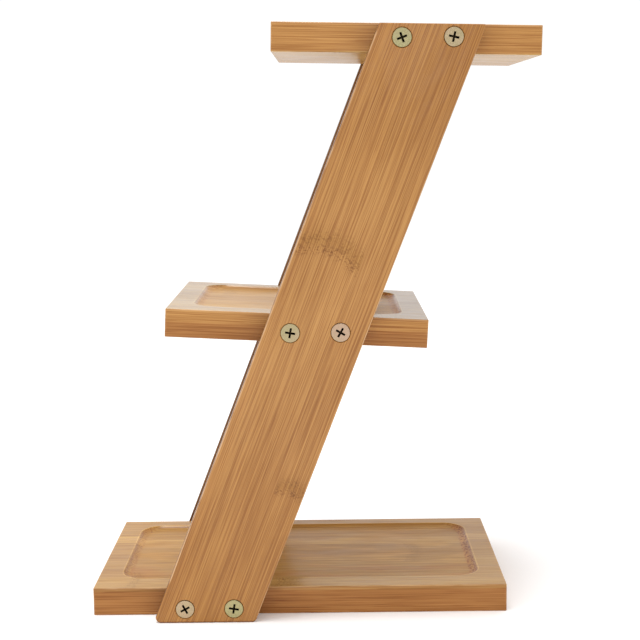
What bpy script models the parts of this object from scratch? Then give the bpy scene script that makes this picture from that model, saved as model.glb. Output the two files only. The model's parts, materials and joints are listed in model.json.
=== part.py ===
"""Three-tier bamboo stand: three routed trays held between two leaning bars by countersunk screws.

Metres, +Z up. The origin is the centre of the bottom tray's underside, which stands on the floor.
The front of the stand faces -Y, and the bars lean towards +X.
"""

import math
from collections import namedtuple

import bmesh
import bpy
from mathutils import Matrix, Vector

MM = 0.001
AHEAD = 1.0 * MM  # how far a cutter stands out of the face that it cuts

# Whole stand
STAND_HEIGHT = 300.0 * MM  # floor to the middle of the top tray's upper face
MIDDLE_HEIGHT = 150.0 * MM  # floor to the centre of the middle tray
TRAY_DEPTH = 118.0 * MM  # front to back, which is also the distance between the bars
JOINT_GAP = 0.3 * MM  # between a bar and the tray's edge that it is screwed to

# Trays
BOARD_THICK = 14.5 * MM
BOTTOM_LENGTH = 215.0 * MM
UPPER_LENGTH = 133.0 * MM  # the middle and the top tray are the same board
UPPER_SHIFT = -9.6 * MM  # an upper tray's centre, from the bars' centre line at its height
MIDDLE_TILT = math.radians(3.2)  # as screwed on, each upper tray hangs a little low at its right end
TOP_TILT = math.radians(1.5)
TRAY_ARRIS = 0.4 * MM
ARRIS_STEPS = 2

# Recess routed into the top of each tray
RECESS_DEPTH = 2.0 * MM
SIDE_MARGIN = 12.0 * MM
FRONT_MARGIN = 14.5 * MM
BACK_MARGIN = 9.0 * MM
RECESS_CORNER = 13.0 * MM
COVE_RADIUS = 6.0 * MM  # the router bit's, which is all the wall there is
CORNER_STEPS = 6
COVE_STEPS = 4

# Leaning bars
BAR_THICK = 12.0 * MM
BAR_WIDTH = 48.6 * MM  # square to the bar's length
BAR_LEAN = math.radians(21.4)
BAR_FOOT_X = -48.9 * MM  # the centre line at the floor, from the bottom tray's centre
HEAD_DROP = 1.1 * MM  # from the top tray's upper face down to the bars' heads, sawn parallel to it
FOOT_CORNER = 2.75 * MM
HEAD_CORNER = 0.8 * MM
BAR_CORNER_STEPS = 4
BAR_ARRIS = 0.6 * MM

# Screws and their holes
SCREW_SPACING = 25.0 * MM
SCREW_LENGTH = 25.0 * MM
SCREW_HEAD = 9.3 * MM  # diameters
SCREW_THREAD = 4.8 * MM
SCREW_CORE = 3.4 * MM
HEAD_LAND = 0.3 * MM  # the straight rim above the head's cone
THREAD_PITCH = 2.4 * MM
THREAD_SHAPE = ((0.0, 0.0), (0.45, 0.0), (0.72, 1.0))  # share of the pitch, share of the ridge
TIP_LENGTH = 6.0 * MM
POINT_LENGTH = 1.0 * MM  # the bare end of the tip
HEAD_GAP = 0.4 * MM
SHANK_GAP = 0.3 * MM
SHANK_SIDES = 10
HEAD_SIDES = 2 * SHANK_SIDES
DRIVE_SPAN = 5.1 * MM  # the cross in the head, from wing end to wing end
DRIVE_WING = 1.05 * MM
DRIVE_DEPTH = 2.4 * MM
DRIVE_TAPER = 0.38  # the cross at its bottom, as a share of its mouth

# How far each cross is turned, left and right screw, as seen by whoever faces that bar
DRIVE_TURNS = {
    "front_top": (20.0, -13.0),
    "front_middle": (-10.0, -30.0),
    "front_bottom": (28.0, -9.0),
    "rear_top": (-24.0, 8.0),
    "rear_middle": (16.0, -38.0),
    "rear_bottom": (-5.0, 31.0),
}

Tray = namedtuple("Tray", "length centre tilt")


def bar_centre_x(height):
    """Where the bars' centre line is at a height above the floor."""
    return BAR_FOOT_X + height * math.tan(BAR_LEAN)


def upper_centre(height):
    return Vector((bar_centre_x(height) + UPPER_SHIFT, 0.0, height))


TRAYS = {
    "bottom": Tray(BOTTOM_LENGTH, Vector((0.0, 0.0, BOARD_THICK / 2)), 0.0),
    "middle": Tray(UPPER_LENGTH, upper_centre(MIDDLE_HEIGHT), MIDDLE_TILT),
    "top": Tray(UPPER_LENGTH, upper_centre(STAND_HEIGHT - BOARD_THICK / 2), TOP_TILT),
}


def clear_scene():
    for obj in list(bpy.data.objects):
        bpy.data.objects.remove(obj, do_unlink=True)


def make_material(name, colour, roughness, metallic=0.0):
    material = bpy.data.materials.new(name)
    material.use_nodes = True
    shader = material.node_tree.nodes["Principled BSDF"]
    shader.inputs["Base Color"].default_value = (*colour, 1.0)
    shader.inputs["Roughness"].default_value = roughness
    shader.inputs["Metallic"].default_value = metallic
    material.diffuse_color = (*colour, 1.0)
    return material


def mesh_from(bm, name, material=None):
    """Turn a bmesh into a mesh with its faces out, smooth except at its corners."""
    bmesh.ops.recalc_face_normals(bm, faces=bm.faces)
    mesh = bpy.data.meshes.new(name)
    bm.to_mesh(mesh)
    bm.free()
    mesh.shade_smooth()
    mesh.set_sharp_from_angle(angle=math.radians(30.0))
    if material:
        mesh.materials.append(material)
    return mesh


def add_object(name, mesh, matrix=None, parent=None):
    obj = bpy.data.objects.new(name, mesh)
    bpy.context.scene.collection.objects.link(obj)
    obj.matrix_world = matrix or Matrix.Identity(4)
    if parent:
        obj.parent = parent
    return obj


def add_cutter(name, mesh, matrix=None, parent=None):
    obj = add_object(name, mesh, matrix, parent)
    obj.hide_render = True
    obj.display_type = "WIRE"
    return obj


def cut(obj, cutter):
    boolean = obj.modifiers.new(cutter.name, "BOOLEAN")
    boolean.operation = "DIFFERENCE"
    boolean.solver = "EXACT"
    boolean.object = cutter


def rounded_outline(corners, radii, steps):
    """Points round a convex outline, with an arc of its own radius at each corner."""
    points = []
    for i, corner in enumerate(corners):
        before = (corners[i - 1] - corner).normalized()
        after = (corners[(i + 1) % len(corners)] - corner).normalized()
        half = before.angle(after) / 2
        centre = corner + (before + after).normalized() * radii[i] / math.sin(half)
        start = corner + before * radii[i] / math.tan(half) - centre
        turn = (math.pi - 2 * half) * math.copysign(1.0, -before.cross(after))
        for step in range(steps + 1):
            points.append(centre + Matrix.Rotation(turn * step / steps, 2) @ start)
    return points


def stack_rings(bm, rings):
    """Skin a closed body over rings of equally many points, and cap both ends."""
    verts = [[bm.verts.new(point) for point in ring] for ring in rings]
    for lower, upper in zip(verts, verts[1:]):
        for i, vert in enumerate(lower):
            bm.faces.new((lower[i - 1], vert, upper[i], upper[i - 1]))
    bm.faces.new(verts[0])
    bm.faces.new(verts[-1])


def bar_mesh(material):
    """A leaning board: its near face lies on y = 0, and it reaches back by its thickness.

    The foot is level. The head slopes with the top tray, so its left corner is the higher one.
    """
    half = BAR_WIDTH / 2 / math.cos(BAR_LEAN)
    lean, slope = math.tan(BAR_LEAN), math.tan(TOP_TILT)
    foot, head_height = bar_centre_x(0.0), STAND_HEIGHT - HEAD_DROP
    head = bar_centre_x(head_height)
    rise = half * slope / (1 + lean * slope)
    corners = [
        Vector((foot - half, 0.0)),
        Vector((foot + half, 0.0)),
        Vector((head + half - rise * lean, head_height - rise)),
        Vector((head - half + rise * lean, head_height + rise)),
    ]
    radii = (FOOT_CORNER, FOOT_CORNER, HEAD_CORNER, HEAD_CORNER)
    outline = rounded_outline(corners, radii, BAR_CORNER_STEPS)
    bm = bmesh.new()
    stack_rings(bm, [[(p.x, y, p.y) for p in outline] for y in (0.0, BAR_THICK)])
    return mesh_from(bm, "bar", material)


def board_mesh(length, material):
    """A plain tray blank about its own centre, its arrises eased."""
    bm = bmesh.new()
    bmesh.ops.create_cube(bm, size=1.0)
    bmesh.ops.scale(bm, vec=(length, TRAY_DEPTH, BOARD_THICK), verts=bm.verts)
    bmesh.ops.bevel(
        bm, geom=bm.edges, offset=TRAY_ARRIS, segments=ARRIS_STEPS, profile=0.5, affect="EDGES"
    )
    return mesh_from(bm, "board", material)


def recess_mesh(length):
    """The routed recess as a cutter: round corners, and a cove that sweeps from the rim down to the floor."""
    left, right = SIDE_MARGIN - length / 2, length / 2 - SIDE_MARGIN
    front, back = FRONT_MARGIN - TRAY_DEPTH / 2, TRAY_DEPTH / 2 - BACK_MARGIN
    top = BOARD_THICK / 2
    rim_turn = math.acos(1 - RECESS_DEPTH / COVE_RADIUS)
    levels = [(0.0, top + AHEAD)]
    for step in range(COVE_STEPS + 1):
        turn = rim_turn * (1 - step / COVE_STEPS)
        inset = COVE_RADIUS * (math.sin(rim_turn) - math.sin(turn))
        levels.append((inset, top - RECESS_DEPTH + COVE_RADIUS * (1 - math.cos(turn))))
    rings = []
    for inset, z in levels:
        corners = [
            Vector((left + inset, front + inset)),
            Vector((right - inset, front + inset)),
            Vector((right - inset, back - inset)),
            Vector((left + inset, back - inset)),
        ]
        outline = rounded_outline(corners, [RECESS_CORNER - inset] * 4, CORNER_STEPS)
        rings.append([(p.x, p.y, z) for p in outline])
    bm = bmesh.new()
    stack_rings(bm, rings)
    return mesh_from(bm, "recess")


def circle(radius, z, sides):
    turns = (2 * math.pi * i / sides for i in range(sides))
    return [Vector((radius * math.cos(turn), radius * math.sin(turn), z)) for turn in turns]


def cone_foot(rim_radius, end_radius):
    """How far below the head's face a 90 degree cone from that rim has shrunk to an end radius."""
    return HEAD_LAND + rim_radius - end_radius


def hole_mesh():
    """A screw's hole as a cutter: countersink, clearance for the thread, and a cone round the tip."""
    mouth = SCREW_HEAD / 2 + HEAD_GAP
    bore = SCREW_THREAD / 2 + SHANK_GAP
    levels = (
        (mouth, AHEAD),
        (mouth, -HEAD_LAND),
        (bore, -cone_foot(mouth, bore)),
        (bore, TIP_LENGTH - SCREW_LENGTH),
        (SHANK_GAP, -SCREW_LENGTH - SHANK_GAP),
    )
    bm = bmesh.new()
    stack_rings(bm, [circle(radius, z, HEAD_SIDES) for radius, z in levels])
    return mesh_from(bm, "screw_hole")


def add_thread(bm, neck):
    """The threaded shank, as columns of points that each start a little lower than the last.

    A whole turn lowers a column by one pitch, so the ridge winds down the core as a helix.
    """
    core, ridge = SCREW_CORE / 2, (SCREW_THREAD - SCREW_CORE) / 2
    end = SCREW_LENGTH - POINT_LENGTH
    turns = math.ceil((end - neck) / THREAD_PITCH)
    rows = [(turn + share, rise) for turn in range(-1, turns + 1) for share, rise in THREAD_SHAPE]
    columns = []
    for side in range(SHANK_SIDES + 1):
        angle = 2 * math.pi * side / SHANK_SIDES
        column = []
        for share, rise in rows:
            wanted = neck + THREAD_PITCH * (share + side / SHANK_SIDES)
            depth = min(max(wanted, neck), end)
            height = rise * ridge if depth == wanted else 0.0
            radius = (core + height) * min(1.0, (SCREW_LENGTH - depth) / TIP_LENGTH)
            column.append(bm.verts.new((radius * math.cos(angle), radius * math.sin(angle), -depth)))
        columns.append(column)
    for left, right in zip(columns, columns[1:]):
        for i in range(len(rows) - 1):
            bm.faces.new((left[i], left[i + 1], right[i + 1], right[i]))
    tip = bm.verts.new((0.0, 0.0, -SCREW_LENGTH))
    for left, right in zip(columns, columns[1:]):
        bm.faces.new((left[-1], tip, right[-1]))


def cross_outline(scale, z):
    """The cross-shaped outline of the drive, at a share of its size at the mouth."""
    far, near = DRIVE_SPAN / 2 * scale, DRIVE_WING / 2 * scale
    corner = ((far, -near), (far, near), (near, near))
    return [
        Matrix.Rotation(math.pi / 2 * quarter, 3, "Z") @ Vector((x, y, z))
        for quarter in range(4)
        for x, y in corner
    ]


def add_head(bm, neck):
    """The countersunk head: a flat face round the cross, a narrow land and a cone down to the neck."""
    rim, land = (
        [bm.verts.new(point) for point in circle(SCREW_HEAD / 2, z, HEAD_SIDES)]
        for z in (0.0, -HEAD_LAND)
    )
    collar = [bm.verts.new(point) for point in circle(SCREW_CORE / 2, -neck, SHANK_SIDES)]
    for i in range(HEAD_SIDES):
        bm.faces.new((rim[i - 1], rim[i], land[i], land[i - 1]))
    for i in range(SHANK_SIDES):
        after = (i + 1) % SHANK_SIDES
        low, middle, high = (land[(2 * i + k) % HEAD_SIDES] for k in range(3))
        bm.faces.new((collar[i], low, middle))
        bm.faces.new((collar[i], middle, collar[after]))
        bm.faces.new((collar[after], middle, high))
    mouth = [bm.verts.new(point) for point in cross_outline(1.0, 0.0)]
    floor = [bm.verts.new(point) for point in cross_outline(DRIVE_TAPER, -DRIVE_DEPTH)]
    for i in range(len(mouth)):
        bm.faces.new((mouth[i - 1], floor[i - 1], floor[i], mouth[i]))
    bm.faces.new(floor)
    edges = [bm.edges.get((ring[i - 1], ring[i])) for ring in (rim, mouth) for i in range(len(ring))]
    bmesh.ops.triangle_fill(bm, use_beauty=True, use_dissolve=False, edges=edges)


def screw_mesh(material):
    """A countersunk screw: its head's face on z = 0, its point down."""
    neck = cone_foot(SCREW_HEAD / 2, SCREW_CORE / 2)
    bm = bmesh.new()
    add_thread(bm, neck)
    add_head(bm, neck)
    bmesh.ops.remove_doubles(bm, verts=bm.verts, dist=0.001 * MM)
    return mesh_from(bm, "screw", material)


def place_trays(material):
    trays = {}
    for level, tray in TRAYS.items():
        matrix = Matrix.Translation(tray.centre) @ Matrix.Rotation(tray.tilt, 4, "Y")
        name = f"{level}_tray"
        trays[level] = add_object(name, board_mesh(tray.length, material), matrix)
        cutter = add_cutter(f"{name}_recess", recess_mesh(tray.length), parent=trays[level])
        cut(trays[level], cutter)
    return trays


def place_bars(material):
    """Two bars from one mesh, each against one long edge of the trays."""
    mesh = bar_mesh(material)
    inner_face = TRAY_DEPTH / 2 + JOINT_GAP
    bars = {}
    for side, near_face in (("front", -inner_face - BAR_THICK), ("rear", inner_face)):
        bars[side] = add_object(f"{side}_bar", mesh, Matrix.Translation((0.0, near_face, 0.0)))
        bevel = bars[side].modifiers.new("arris", "BEVEL")
        bevel.width = BAR_ARRIS
        bevel.segments = ARRIS_STEPS
        bevel.limit_method = "ANGLE"
        bevel.angle_limit = math.radians(60.0)
    return bars


def place_screws(material, bars, trays):
    """Two screws through each bar into each tray, and the hole that each runs in."""
    screw, hole = screw_mesh(material), hole_mesh()
    outer_face = TRAY_DEPTH / 2 + JOINT_GAP + BAR_THICK
    for level, tray in TRAYS.items():
        middle_x = bar_centre_x(tray.centre.z)
        z = tray.centre.z - (middle_x - tray.centre.x) * math.tan(tray.tilt)
        for side, facing in (("front", 1.0), ("rear", -1.0)):
            turn_round = Matrix.Rotation(0.0 if side == "front" else math.pi, 4, "Z")
            for hand, offset, turn in zip(("left", "right"), (-0.5, 0.5), DRIVE_TURNS[f"{side}_{level}"]):
                place = Vector((middle_x + facing * offset * SCREW_SPACING, -facing * outer_face, z))
                matrix = (
                    Matrix.Translation(place)
                    @ turn_round
                    @ Matrix.Rotation(math.pi / 2, 4, "X")
                    @ Matrix.Rotation(math.radians(turn), 4, "Z")
                )
                name = f"screw_{side}_{level}_{hand}"
                add_object(name, screw, matrix)
                cutter = add_cutter(f"{name}_hole", hole, matrix)
                cut(bars[side], cutter)
                cut(trays[level], cutter)


def main():
    clear_scene()
    bar_bamboo = make_material("bar_bamboo", (0.48, 0.24, 0.10), 0.42)
    tray_bamboo = make_material("tray_bamboo", (0.50, 0.32, 0.16), 0.38)
    yellow_zinc = make_material("yellow_zinc", (0.72, 0.62, 0.36), 0.30, metallic=1.0)
    trays = place_trays(tray_bamboo)
    bars = place_bars(bar_bamboo)
    place_screws(yellow_zinc, bars, trays)


main()
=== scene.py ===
"""Looks of the three-tier bamboo stand: routed trays, leaning bars and their screws on a pale floor.

Metres, +Z up, front towards -Y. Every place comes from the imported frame.
"""

import json
import math

import bmesh
import bpy
import numpy as np
from mathutils import Matrix, Vector, geometry


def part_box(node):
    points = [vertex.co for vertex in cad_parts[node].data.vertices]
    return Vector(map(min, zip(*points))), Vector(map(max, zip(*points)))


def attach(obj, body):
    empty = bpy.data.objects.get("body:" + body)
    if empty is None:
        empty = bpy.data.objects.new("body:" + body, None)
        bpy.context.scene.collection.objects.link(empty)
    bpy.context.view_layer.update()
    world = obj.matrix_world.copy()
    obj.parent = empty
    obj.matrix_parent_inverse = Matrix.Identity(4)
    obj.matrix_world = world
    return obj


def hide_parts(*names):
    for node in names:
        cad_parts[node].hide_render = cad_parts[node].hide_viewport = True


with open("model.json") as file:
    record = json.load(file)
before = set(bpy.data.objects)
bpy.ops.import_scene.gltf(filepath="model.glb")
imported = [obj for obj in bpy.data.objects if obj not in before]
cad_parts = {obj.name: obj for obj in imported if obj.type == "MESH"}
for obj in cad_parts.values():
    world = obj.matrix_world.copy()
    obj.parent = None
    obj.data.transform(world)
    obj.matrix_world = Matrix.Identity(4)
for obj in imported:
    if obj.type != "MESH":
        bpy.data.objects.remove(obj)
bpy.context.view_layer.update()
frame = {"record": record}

MM = 0.001
LEVELS = ("bottom", "middle", "top")
SIDES = ("front", "rear")
HANDS = ("left", "right")

# Sizes of the details, as the boards were cut
EDGE_BAND = 0.15 * MM  # flat strip beside each rounding, so that the flat faces shade flat
CONE_BAND = 0.1 * MM  # strip at each end of a screw's or a hole's cone, for the same reason
ROUND_STEPS = 4
TRAY_ARRIS = 0.4 * MM
TRAY_CORNER = 0.8 * MM
SIDE_MARGIN = 12.0 * MM
FRONT_MARGIN = 14.5 * MM
BACK_MARGIN = 9.0 * MM
RECESS_CORNER = 13.0 * MM
COVE_RADIUS = 6.0 * MM
RIM_ROUND = 0.25 * MM
RIM_STEPS = 4
CORNER_STEPS = 16
COVE_STEPS = 10
BAR_LEAN = math.radians(21.4)
BAR_WIDTH = 48.6 * MM
BAR_ARRIS = 0.6 * MM
FOOT_CORNER = 2.75 * MM
HEAD_CORNER = 0.8 * MM
HOLE_STEPS = 48
HOLE_ROUND = 0.12 * MM
HOLE_ROUND_STEPS = 2
SCREW_LENGTH = 25.0 * MM
SCREW_RADIUS = 4.65 * MM
THREAD_RADIUS = 2.4 * MM
CORE_RADIUS = 1.7 * MM
HEAD_LAND = 0.3 * MM
HEAD_ROUND = 0.12 * MM
HEAD_ROUND_STEPS = 3
THREAD_PITCH = 2.4 * MM
# One turn of the thread: how far along the pitch, and how much of the ridge's height
THREAD_RIDGE = ((0.0, 0.0), (0.36, 0.0), (0.45, 0.04), (0.66, 0.92), (0.74, 0.92), (0.94, 0.08))
TIP_LENGTH = 6.0 * MM
POINT_LENGTH = 1.0 * MM
HEAD_GAP = 0.4 * MM
SHANK_GAP = 0.3 * MM
DRIVE_SPAN = 5.1 * MM
DRIVE_WING = 1.05 * MM
DRIVE_DEPTH = 2.4 * MM
DRIVE_TAPER = 0.38  # the cross's size at its floor beside its size at its mouth
# Rings of the cross from its middle out: its floor's, by size and depth beside the floor's own, its
# wall's, by how deep they are beside the floor, and its mouth's, by size and depth
DRIVE_FLOOR = ((0.0, 1.04), (0.5, 1.02), (1.0, 1.0))
DRIVE_WALL = (0.75, 0.5, 0.25, 0.08)
DRIVE_MOUTH = ((0.985, 0.06 * MM), (1.015, 0.0), (1.05, 0.0))
DRIVE_STEPS = (4, 3, 4)  # points along an arm's side, its end and its other side
GRIME_SHADE_REACH = 0.53  # how far out the cross's grime and painted shade go, in spans
GRIME_SHADE_DEPTH = 0.03 * MM
# How far each head's cross is turned, in degrees, for the left and the right screw
DRIVE_TURNS = {
    "front_top": (20.0, -13.0),
    "front_middle": (-10.0, -30.0),
    "front_bottom": (28.0, -9.0),
    "rear_top": (-24.0, 8.0),
    "rear_middle": (16.0, -38.0),
    "rear_bottom": (-5.0, 31.0),
}
# How pink each head's plating is, from 0, green, to 1, in the same order
PLATING_TINTS = {
    "front_top": (0.12, 0.55),
    "front_middle": (0.35, 0.95),
    "front_bottom": (0.62, 0.0),
    "rear_top": (0.4, 0.2),
    "rear_middle": (0.8, 0.3),
    "rear_bottom": (0.1, 0.7),
}
MERGE_DISTANCE = 1e-7
SHARP_ANGLE = math.radians(50.0)


# ---------------------------------------------------------------- surfaces


class Shell:
    """Points and faces of one closed piece, gathered patch by patch."""

    def __init__(self):
        self.points = []
        self.faces = []
        self.count = 0

    def add(self, points):
        """Store an array of points of any shape (..., 3), and return their numbers in that shape."""
        numbers = self.count + np.arange(points[..., 0].size).reshape(points.shape[:-1])
        self.points.append(points.reshape(-1, 3))
        self.count += numbers.size
        return numbers

    def gathered(self):
        return np.concatenate(self.points)

    def skin(self, numbers):
        """Quads between neighbouring rows and columns of a grid of point numbers."""
        near, far = numbers[:-1], numbers[1:]
        quads = np.stack((near[:, :-1], near[:, 1:], far[:, 1:], far[:, :-1]), -1)
        self.faces.extend(quads.reshape(-1, 4).tolist())

    def cap(self, ring):
        self.faces.append(list(ring))

    def fill(self, axes, outer, holes):
        """Triangles of a flat patch, seen along the third axis, between an outer loop and its holes.

        Holes are convex, so a triangle with all three corners on one hole's loop lies in that hole.
        """
        loops = [outer, *holes]
        numbers = np.concatenate(loops)
        owner = np.repeat(np.arange(len(loops)), [len(loop) for loop in loops])
        edges, start = [], 0
        for loop in loops:
            edges.extend((start + i, start + (i + 1) % len(loop)) for i in range(len(loop)))
            start += len(loop)
        plane = [Vector(point) for point in self.gathered()[numbers][:, axes]]
        found = geometry.delaunay_2d_cdt(plane, edges, [], 1, 1e-9)
        source = np.array([origins[0] for origins in found[3]])
        triangles = source[np.array(found[2])]
        whose = owner[triangles]
        in_hole = (whose[:, 0] > 0) & (whose == whose[:, :1]).all(1)
        self.faces.extend(numbers[triangles[~in_hole]].tolist())

    def mesh(self, name):
        """One mesh with its doubles merged and its faces out."""
        mesh = bpy.data.meshes.new(name)
        mesh.from_pydata(self.gathered(), [], self.faces)
        work = bmesh.new()
        work.from_mesh(mesh)
        bmesh.ops.remove_doubles(work, verts=work.verts, dist=MERGE_DISTANCE)
        bmesh.ops.recalc_face_normals(work, faces=work.faces)
        work.to_mesh(mesh)
        work.free()
        mesh.shade_smooth()
        mesh.set_sharp_from_angle(angle=SHARP_ANGLE)
        return mesh


def rounding(radius, steps):
    """Inset and depth down a quarter round: the radius less its sine, and the radius less its cosine."""
    turns = np.linspace(0.0, math.pi / 2, steps + 1)
    return [(radius * (1 - math.sin(turn)), radius * (1 - math.cos(turn))) for turn in turns]


def rounded_outline(corners, radii, steps):
    """Points and outward directions round a convex outline, an arc of its own radius at each corner.

    A corner's arc has its centre on the line that halves the corner, radius / sin(half angle) in.
    Each arc gets one more point an edge band away on both sides, on the straights.
    """
    corners = np.asarray(corners, float)
    radii = np.asarray(radii, float)[:, None]
    before = np.roll(corners, 1, 0) - corners
    after = np.roll(corners, -1, 0) - corners
    before /= np.linalg.norm(before, axis=1)[:, None]
    after /= np.linalg.norm(after, axis=1)[:, None]
    half = np.arccos((before * after).sum(1)) / 2
    inward = before + after
    inward /= np.linalg.norm(inward, axis=1)[:, None]
    centres = corners + inward * radii / np.sin(half)[:, None]
    first = np.arctan2(-before[:, 0], before[:, 1]) + math.pi
    turn = first[:, None] + (math.pi - 2 * half)[:, None] * np.linspace(0.0, 1.0, steps + 1)
    out = np.stack((np.cos(turn), np.sin(turn)), -1)
    arcs = centres[:, None] + radii[:, None] * out
    lead = arcs[:, :1] + EDGE_BAND * before[:, None]
    tail = arcs[:, -1:] + EDGE_BAND * after[:, None]
    points = np.concatenate((lead, arcs, tail), 1).reshape(-1, 2)
    directions = np.concatenate((out[:, :1], out, out[:, -1:]), 1).reshape(-1, 2)
    return points, directions


def rectangle(left, right, front, back):
    return ((left, front), (right, front), (right, back), (left, back))


def carried(outline, profile):
    """A profile carried along an outline: each point goes in by the profile's inset, at its height.

    Rows follow the profile and columns the outline, whose first column comes again at the end.
    """
    points, directions = outline
    profile = np.asarray(profile, float)
    inset, height = profile[:, 0, None, None], profile[:, 1, None, None]
    flat = points[None] - inset * directions[None]
    rings = np.concatenate((flat, np.broadcast_to(height, flat.shape[:2] + (1,))), -1)
    return np.concatenate((rings, rings[:, :1]), 1)


def turned(centre, profile, steps):
    """A profile turned about an axis: circles of the profile's radii, at its depths along -Z."""
    turn = np.linspace(0.0, 2 * math.pi, steps + 1)
    profile = np.asarray(profile, float)
    radius, depth = profile[:, 0, None], profile[:, 1, None]
    return np.stack(
        (
            centre[0] + radius * np.cos(turn),
            centre[1] + radius * np.sin(turn),
            -depth * np.ones_like(turn),
        ),
        -1,
    )


def hole_profile(mouth, straight, bore, deep):
    """Radius and depth of a screw's hole: eased mouth, straight rim, cone, then the bore."""
    rows = [(mouth + HOLE_ROUND + EDGE_BAND / 2, 0.0)]
    rows += [(mouth + inset, depth) for inset, depth in rounding(HOLE_ROUND, HOLE_ROUND_STEPS)]
    if mouth > bore:
        foot = straight + mouth - bore
        rows += [(mouth, straight), (mouth - CONE_BAND, straight + CONE_BAND)]
        rows += [(bore + CONE_BAND, foot - CONE_BAND), (bore, foot)]
    rows.append((bore, deep))
    return rows


# ---------------------------------------------------------------- places


def span(node):
    low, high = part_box(node)
    return np.array(low), np.array(high)


def screw_place(side, level, hand):
    """The centre of a screw's head face: the middle of its box, at the outer end."""
    low, high = span(f"screw_{side}_{level}_{hand}")
    place = (low + high) / 2
    place[1] = low[1] if side == "front" else high[1]
    return place


BASE_LOW, BASE_HIGH = span("bottom_tray")
BOARD = BASE_HIGH - BASE_LOW
SHELVES = {mount["name"]: mount for mount in frame["record"]["mounts"]}
RECESS_DEPTH = BASE_HIGH[2] - SHELVES["bottom_shelf"]["pos_m"][2]


def board_frame(level):
    """A tray's length, centre and tilt. The tilt is that of its shelf, and the box gives the rest."""
    low, high = span(f"{level}_tray")
    axis = SHELVES[f"{level}_shelf"]["axis"]
    tilt = math.atan2(axis[0], axis[2])
    length = (high[0] - low[0] - BOARD[2] * math.sin(tilt)) / math.cos(tilt)
    return length, (low + high) / 2, tilt


def board_turn(tilt):
    """The turn about Y from a tray's own directions to the stand's."""
    sine, cosine = math.sin(tilt), math.cos(tilt)
    return np.array(((cosine, 0.0, sine), (0.0, 1.0, 0.0), (-sine, 0.0, cosine)))


# ---------------------------------------------------------------- pieces


def tray_mesh(level):
    """A tray about its own centre: the board's edge profile carried round it, then the recess's.

    The long edges are flat patches pierced by the screws' blind holes. The whole is then tilted
    and set in its place.
    """
    length, centre, tilt = board_frame(level)
    turn = board_turn(tilt)
    half = np.array((length, BOARD[1], BOARD[2])) / 2
    shell = Shell()
    outer = rounded_outline(
        rectangle(-half[0], half[0], -half[1], half[1]), [TRAY_CORNER] * 4, ROUND_STEPS
    )
    lower = [(inset, depth - half[2]) for inset, depth in rounding(TRAY_ARRIS, ROUND_STEPS)]
    upper = [(inset, -height) for inset, height in reversed(lower)]
    profile = [(TRAY_ARRIS + EDGE_BAND, -half[2]), *lower, (0.0, lower[-1][1] + EDGE_BAND)]
    side_row = len(profile) - 1
    profile += [(0.0, upper[0][1] - EDGE_BAND), *upper, (TRAY_ARRIS + EDGE_BAND, half[2])]
    body = shell.add(carried(outer, profile))
    recess = rounded_outline(
        rectangle(
            SIDE_MARGIN - half[0], half[0] - SIDE_MARGIN, FRONT_MARGIN - half[1], half[1] - BACK_MARGIN
        ),
        [RECESS_CORNER] * 4,
        CORNER_STEPS,
    )
    bowl = shell.add(carried(recess, recess_profile(half[2])))
    shell.skin(bowl)
    shell.cap(bowl[-1, :-1])
    shell.cap(body[0, :-1])
    shell.fill((0, 1), body[-1, :-1], [bowl[0, :-1]])
    shell.skin(body[: side_row + 1])
    shell.skin(body[side_row + 1 :])

    sides = body[side_row : side_row + 2]
    per_corner = ROUND_STEPS + 3
    long_sides = (per_corner - 1, 3 * per_corner - 1)
    for column in range(sides.shape[1] - 1):
        if column not in long_sides:
            shell.skin(sides[:, column : column + 2])
    for side, column in zip(SIDES, long_sides):
        facing = -1.0 if side == "front" else 1.0
        mouths = []
        for hand in HANDS:
            spot = (screw_place(side, level, hand) - centre) @ turn
            reach = half[1] - (abs(spot[1]) - SCREW_LENGTH)
            bore = THREAD_RADIUS + SHANK_GAP
            rows = hole_profile(bore, 0.0, bore, reach - TIP_LENGTH)
            rows += [(SHANK_GAP, reach + SHANK_GAP), (0.0, reach + SHANK_GAP)]
            hole = turned((spot[0], spot[2]), rows, HOLE_STEPS)
            x, z, drop = np.moveaxis(hole, -1, 0)
            numbers = shell.add(np.stack((x, facing * (half[1] + drop), z), -1))
            shell.skin(numbers)
            mouths.append(numbers[0, :-1])
        low, high = sides[:, column : column + 2]
        shell.fill((0, 2), np.array((*low, *high[::-1])), mouths)
    shell.points = [shell.gathered() @ turn.T + centre]
    return shell.mesh(f"bamboo_tray_{level}")


def recess_profile(top):
    """Inset and height down a recess: the eased rim, then the router bit's cove to the floor.

    The cove is an arc of its radius that meets the floor level and the rim at a slope. The rim is
    an arc that leaves the top level and meets that slope, half in the margin and half in the cove.
    """
    steep = math.acos(1 - RECESS_DEPTH / COVE_RADIUS)
    ease = RIM_ROUND * math.tan(steep / 2)
    rim = np.linspace(0.0, steep, RIM_STEPS + 1)
    rim_inset = RIM_ROUND * np.sin(rim) - ease
    rim_height = top - RIM_ROUND * (1 - np.cos(rim))
    start = steep - ease / COVE_RADIUS
    cove = np.linspace(start, 0.0, COVE_STEPS + 1)
    cove_inset = COVE_RADIUS * (math.sin(steep) - np.sin(cove))
    cove_height = top - RECESS_DEPTH + COVE_RADIUS * (1 - np.cos(cove))
    inset = np.concatenate(([-ease - EDGE_BAND], rim_inset, cove_inset, [cove_inset[-1] + EDGE_BAND]))
    height = np.concatenate(([top], rim_height, cove_height, [top - RECESS_DEPTH]))
    return np.stack((inset, height), -1)


def corner_past(radius, one, other):
    """How far a sharp corner lies past its rounding's centre, given the two sides' outward turns.

    The corner is along the directions' sum, at radius / cos(half the angle between them).
    """
    half = (other - one) / 2
    middle = (other + one) / 2
    return radius / math.cos(half) * np.array((math.cos(middle), math.sin(middle)))


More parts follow.
